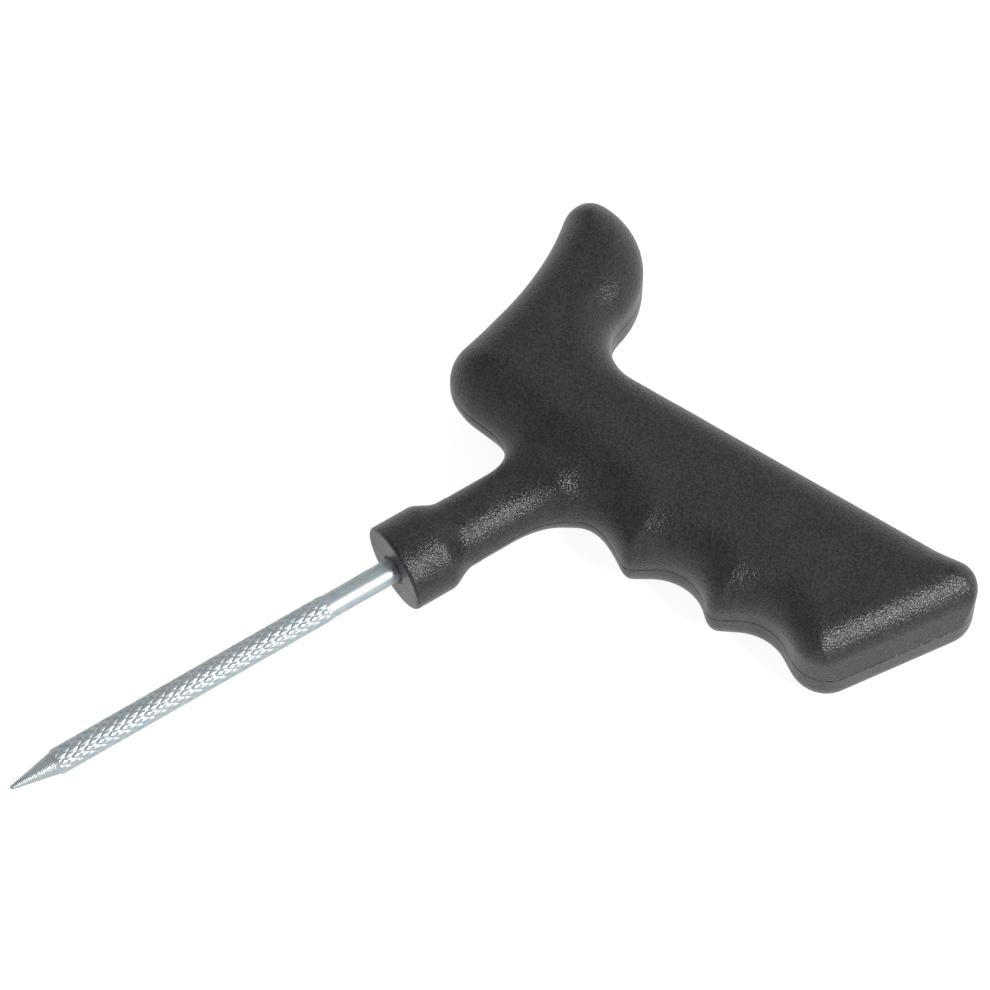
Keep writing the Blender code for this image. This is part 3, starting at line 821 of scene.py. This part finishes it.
class Nodes:
    """A material's node tree, with short calls for adding and linking nodes."""

    def __init__(self, name):
        self.material = bpy.data.materials.new(name)
        self.material.use_nodes = True
        self.tree = self.material.node_tree
        self.shader = self.tree.nodes["Principled BSDF"]

    def add(self, kind, **settings):
        node = self.tree.nodes.new(kind)
        for key, value in settings.items():
            setattr(node, key, value)
        return node

    def link(self, source, target):
        self.tree.links.new(source, target)

    def place(self):
        """The object's own coordinates, in metres."""
        return self.add("ShaderNodeTexCoord").outputs["Object"]

    def noise(self, vector, scale, detail, roughness):
        node = self.add("ShaderNodeTexNoise")
        node.inputs["Scale"].default_value = scale
        node.inputs["Detail"].default_value = detail
        node.inputs["Roughness"].default_value = roughness
        self.link(vector, node.inputs["Vector"])
        return node.outputs["Fac"]

    def voronoi(self, vector, scale):
        """Distance to the nearest of the points scattered at the scale."""
        node = self.add("ShaderNodeTexVoronoi", feature="F1")
        node.inputs["Scale"].default_value = scale
        self.link(vector, node.inputs["Vector"])
        return node.outputs["Distance"]

    def wander(self, vector, scale, distance):
        """The vector pushed about by noise, at most by the distance."""
        noise = self.add("ShaderNodeTexNoise")
        noise.inputs["Scale"].default_value = scale
        noise.inputs["Detail"].default_value = 1.0
        self.link(vector, noise.inputs["Vector"])
        centre = self.add("ShaderNodeVectorMath", operation="SUBTRACT")
        self.link(noise.outputs["Color"], centre.inputs[0])
        centre.inputs[1].default_value = (0.5, 0.5, 0.5)
        push = self.add("ShaderNodeVectorMath", operation="MULTIPLY_ADD")
        self.link(centre.outputs["Vector"], push.inputs[0])
        push.inputs[1].default_value = (distance, distance, distance)
        self.link(vector, push.inputs[2])
        return push.outputs["Vector"]

    def ramp(self, value, low, high, out_low, out_high):
        """The value, clamped between low and high, and stretched to run from out_low to out_high."""
        node = self.add("ShaderNodeMapRange")
        names = ("From Min", "From Max", "To Min", "To Max")
        for name, number in zip(names, (low, high, out_low, out_high)):
            node.inputs[name].default_value = number
        self.link(value, node.inputs["Value"])
        return node.outputs["Result"]

    def maths(self, operation, first, second):
        node = self.add("ShaderNodeMath", operation=operation)
        for socket, value in zip(node.inputs, (first, second)):
            if isinstance(value, (int, float)):
                socket.default_value = value
            else:
                self.link(value, socket)
        return node.outputs["Value"]

    def mix_colour(self, factor, first, second):
        """The first colour where the factor is 0, and the second where it is 1."""
        node = self.add("ShaderNodeMix", data_type="RGBA")
        self.link(factor, node.inputs[0])
        colour_inputs = [socket for socket in node.inputs if socket.type == "RGBA"]
        colour_inputs[0].default_value = (*first, 1.0)
        colour_inputs[1].default_value = (*second, 1.0)
        return [socket for socket in node.outputs if socket.type == "RGBA"][0]

    def bump(self, height, distance, strength):
        node = self.add("ShaderNodeBump")
        node.inputs["Distance"].default_value = distance
        node.inputs["Strength"].default_value = strength
        self.link(height, node.inputs["Height"])
        return node.outputs["Normal"]


# Linear colours of each plastic: its own dark colour, and the lighter colour of the painted sparkle on its
# grain's pebble tops.
UPPER_PLASTIC = ((0.001, 0.0012, 0.0017), (0.038, 0.0384, 0.0395))
# The lower shell's copy of the same plastic is painted lighter: a painted reflection of the pale table under
# it.
LOWER_PLASTIC_PAINTED_LIGHTER = ((0.002, 0.0022, 0.0027), (0.046, 0.0464, 0.0475))
# Linear colours: each metal's clean colour, and the duller one of its patches.
ZINC = ((0.42, 0.465, 0.485), (0.29, 0.34, 0.365))
GROUND_STEEL = ((0.50, 0.50, 0.51), (0.38, 0.38, 0.39))
DARK_PLATE = ((0.30, 0.30, 0.31), (0.20, 0.20, 0.21))

# Cells and waves in a metre of each pattern, and the grain's height in metres.
GRAIN_CELLS = 2100.0
GRAIN_HEIGHT = 0.00008
TOOTH_CELLS = 3400.0
TOOTH_SHARE = 0.5
WANDER_WAVES = 500.0
WANDER_DISTANCE = 0.0004
PATCH_WAVES = 160.0
# The grain is this share of its full height on the collar's face, and full from the second place behind it.
FACE_GRAIN = 0.25
FACE_GRAIN_GROWS = (0.0002, 0.0008)
PLASTIC_ROUGHNESS = (0.36, 0.41)
PEBBLE_SHINE = 0.08
PLASTIC_IOR = 1.40
STREAK_WAVES = 2600.0
STREAK_STRETCH = (0.12, 1.0, 1.0)
STREAK_HEIGHT = 0.00001
STREAK_STRENGTH = 0.35
MOTTLE_WAVES = 420.0


def grip_material(name, pit_colour, pebble_top_painted_sparkle_colour):
    """Black moulded plastic with a leather grain: pebbles under a millimetre wide, a finer tooth on them, and
    a collar face left plainer by the mould. The pebble tops are painted lighter: a painted sparkle for glints
    of light."""
    nodes = Nodes(name)
    place = nodes.place()
    split = nodes.add("ShaderNodeSeparateXYZ")
    nodes.link(place, split.inputs["Vector"])
    plain_end, grain_start = (TOOL_ORIGIN.x + behind for behind in FACE_GRAIN_GROWS)
    grained = nodes.ramp(split.outputs["X"], plain_end, grain_start, FACE_GRAIN, 1.0)
    warped = nodes.wander(place, WANDER_WAVES, WANDER_DISTANCE)
    pebbles = nodes.ramp(nodes.voronoi(warped, GRAIN_CELLS), 0.05, 0.75, 1.0, 0.0)
    domes = nodes.maths("POWER", pebbles, 0.7)
    tooth = nodes.noise(place, TOOTH_CELLS, 2.0, 0.6)
    height = nodes.maths("ADD", domes, nodes.maths("MULTIPLY", tooth, TOOTH_SHARE))
    grain = nodes.bump(nodes.maths("MULTIPLY", height, grained), GRAIN_HEIGHT, 1.0)
    nodes.link(grain, nodes.shader.inputs["Normal"])
    patches = nodes.noise(place, PATCH_WAVES, 4.0, 0.6)
    # Painted sparkle: the pebble tops are painted lighter, as glints of light would show on them. The patches
    # are random tone.
    painted_sparkle = nodes.maths("POWER", pebbles, 1.6)
    tint = nodes.maths("ADD", nodes.maths("MULTIPLY", patches, 0.3), nodes.maths("MULTIPLY", painted_sparkle, 0.8))
    nodes.link(nodes.mix_colour(tint, pit_colour, pebble_top_painted_sparkle_colour), nodes.shader.inputs["Base Color"])
    rough = nodes.ramp(patches, 0.3, 0.7, *PLASTIC_ROUGHNESS)
    shine = nodes.maths("SUBTRACT", rough, nodes.maths("MULTIPLY", domes, PEBBLE_SHINE))
    nodes.link(shine, nodes.shader.inputs["Roughness"])
    nodes.shader.inputs["IOR"].default_value = PLASTIC_IOR
    return nodes.material


def steel_material(name, colour, dull_colour, roughness, grime):
    """Plated or ground steel: faint mottling, fine scratches along the shank, and duller patches."""
    nodes = Nodes(name)
    place = nodes.place()
    stretch = nodes.add("ShaderNodeMapping")
    stretch.inputs["Scale"].default_value = STREAK_STRETCH
    nodes.link(place, stretch.inputs["Vector"])
    streaks = nodes.noise(stretch.outputs["Vector"], STREAK_WAVES, 3.0, 0.6)
    mottle = nodes.noise(place, MOTTLE_WAVES, 4.0, 0.65)
    tint = nodes.ramp(mottle, 0.35, 0.75, 0.0, grime)
    nodes.link(nodes.mix_colour(tint, colour, dull_colour), nodes.shader.inputs["Base Color"])
    nodes.shader.inputs["Metallic"].default_value = 1.0
    rough = nodes.ramp(mottle, 0.3, 0.7, roughness * 0.8, roughness * 1.3)
    nodes.link(rough, nodes.shader.inputs["Roughness"])
    nodes.link(nodes.bump(streaks, STREAK_HEIGHT, STREAK_STRENGTH), nodes.shader.inputs["Normal"])
    return nodes.material


# ---- Stage ----

VIEW_AZIMUTH = math.radians(-32.8)
VIEW_ELEVATION = math.radians(62.3)
CAMERA_DISTANCE = 1.0
VIEW_WIDTH = 0.21154
SENSOR_WIDTH = 36.0
# Where the camera looks, across and up its own view, from the point where the shank enters the collar.
AIM_RIGHT = 0.02173
AIM_UP = 0.01592
FLOOR_HALF = 3.0
FLOOR_DROP = 0.0002
FLOOR_COLOURS = ((0.20, 0.20, 0.20), (0.19, 0.19, 0.192))
FLOOR_GLOW = 0.92
# What the lights face.
LIT_PLACE = Vector((0.03, 0.0, 0.0))
# The sky's brightness at heights from the horizon, 0, to straight overhead, 1.
SKY_LEVELS = ((0.0, 0.90), (0.3, 0.70), (0.6, 0.42), (1.0, 0.32))


def view_axes():
    """The camera's back, right and up directions."""
    back = Vector(
        (
            math.sin(VIEW_AZIMUTH) * math.cos(VIEW_ELEVATION),
            -math.cos(VIEW_AZIMUTH) * math.cos(VIEW_ELEVATION),
            math.sin(VIEW_ELEVATION),
        )
    )
    right = Vector((math.cos(VIEW_AZIMUTH), math.sin(VIEW_AZIMUTH), 0.0))
    return back, right, back.cross(right)


def make_camera():
    back, right, up = view_axes()
    data = bpy.data.cameras.new("camera")
    data.sensor_width = SENSOR_WIDTH
    data.lens = SENSOR_WIDTH * CAMERA_DISTANCE / VIEW_WIDTH
    data.clip_start = 0.05
    data.clip_end = 20.0
    camera = new_object("camera", data)
    aim = TOOL_ORIGIN + right * AIM_RIGHT + up * AIM_UP
    camera.matrix_world = Matrix.Translation(aim + back * CAMERA_DISTANCE) @ Matrix(
        ((right.x, up.x, back.x), (right.y, up.y, back.y), (right.z, up.z, back.z))
    ).to_4x4()
    bpy.context.scene.camera = camera


def make_floor():
    """A plain pale table, wide enough to fill every view."""
    shape = bmesh.new()
    bmesh.ops.create_grid(shape, x_segments=1, y_segments=1, size=FLOOR_HALF)
    mesh = bpy.data.meshes.new("floor")
    shape.to_mesh(mesh)
    shape.free()
    floor = new_object("floor", mesh)
    floor.location.z = cad_box[0].z - FLOOR_DROP
    nodes = Nodes("pale_table")
    tint = nodes.ramp(nodes.noise(nodes.place(), 3.0, 2.0, 0.5), 0.3, 0.7, 0.0, 1.0)
    nodes.link(nodes.mix_colour(tint, *FLOOR_COLOURS), nodes.shader.inputs["Base Color"])
    nodes.shader.inputs["Roughness"].default_value = 0.8
    nodes.shader.inputs["Specular IOR Level"].default_value = 0.2
    nodes.shader.inputs["Emission Color"].default_value = (1.0, 1.0, 1.0, 1.0)
    nodes.shader.inputs["Emission Strength"].default_value = FLOOR_GLOW
    floor.data.materials.append(nodes.material)


def area_light(name, azimuth, elevation, distance, size, power):
    """A soft box that faces the tool. Azimuth 0 is the -Y side, and 90 the +X side."""
    a = math.radians(azimuth)
    e = math.radians(elevation)
    towards = Vector((math.sin(a) * math.cos(e), -math.cos(a) * math.cos(e), math.sin(e)))
    data = bpy.data.lights.new(name, "AREA")
    data.shape = "RECTANGLE"
    data.size, data.size_y = size
    data.energy = power
    light = new_object(name, data)
    light.location = LIT_PLACE + towards * distance
    light.rotation_mode = "QUATERNION"
    light.rotation_quaternion = towards.to_track_quat("Z", "Y")


def make_world():
    """Bright near the horizon, as a sweep of paper round the table, and darker overhead."""
    world = bpy.data.worlds.new("studio")
    world.use_nodes = True
    tree = world.node_tree
    background = tree.nodes["Background"]
    place = tree.nodes.new("ShaderNodeTexCoord")
    split = tree.nodes.new("ShaderNodeSeparateXYZ")
    ramp = tree.nodes.new("ShaderNodeValToRGB")
    tree.links.new(place.outputs["Generated"], split.inputs["Vector"])
    tree.links.new(split.outputs["Z"], ramp.inputs["Fac"])
    tree.links.new(ramp.outputs["Color"], background.inputs["Color"])
    stops = ramp.color_ramp.elements
    for _ in SKY_LEVELS[2:]:
        stops.new(0.5)
    for stop, (height, level) in zip(stops, SKY_LEVELS):
        stop.position = height
        stop.color = (level, level, level, 1.0)
    background.inputs["Strength"].default_value = 1.0
    bpy.context.scene.world = world


def make_lights():
    area_light("key", 15, 42, 1.1, (0.18, 0.18), 16.0)
    area_light("overhead", 147, 62, 1.3, (1.3, 1.3), 3.0)
    area_light("side", 95, 22, 1.4, (0.9, 0.5), 2.0)
    bpy.context.scene.view_settings.view_transform = "Standard"


# ---- Build ----


def main():
    make_camera()
    make_world()
    make_lights()
    make_floor()
    upper = grip_material("grained_plastic_upper", *UPPER_PLASTIC)
    # The lower shell's plastic is painted lighter, as a painted reflection of the table below it.
    lower = grip_material("grained_plastic_lower_painted_lighter", *LOWER_PLASTIC_PAINTED_LIGHTER)
    zinc = steel_material("zinc_plate", *ZINC, roughness=0.42, grime=0.9)
    ground = steel_material("ground_steel", *GROUND_STEEL, roughness=0.30, grime=0.6)
    dark = steel_material("dark_plate", *DARK_PLATE, roughness=0.34, grime=0.8)
    make_shells(upper, lower)
    make_shank(zinc)
    make_pin(ground)
    for index, place in enumerate(SCREW_PLACES, start=1):
        make_screw(index, place, dark)


main()
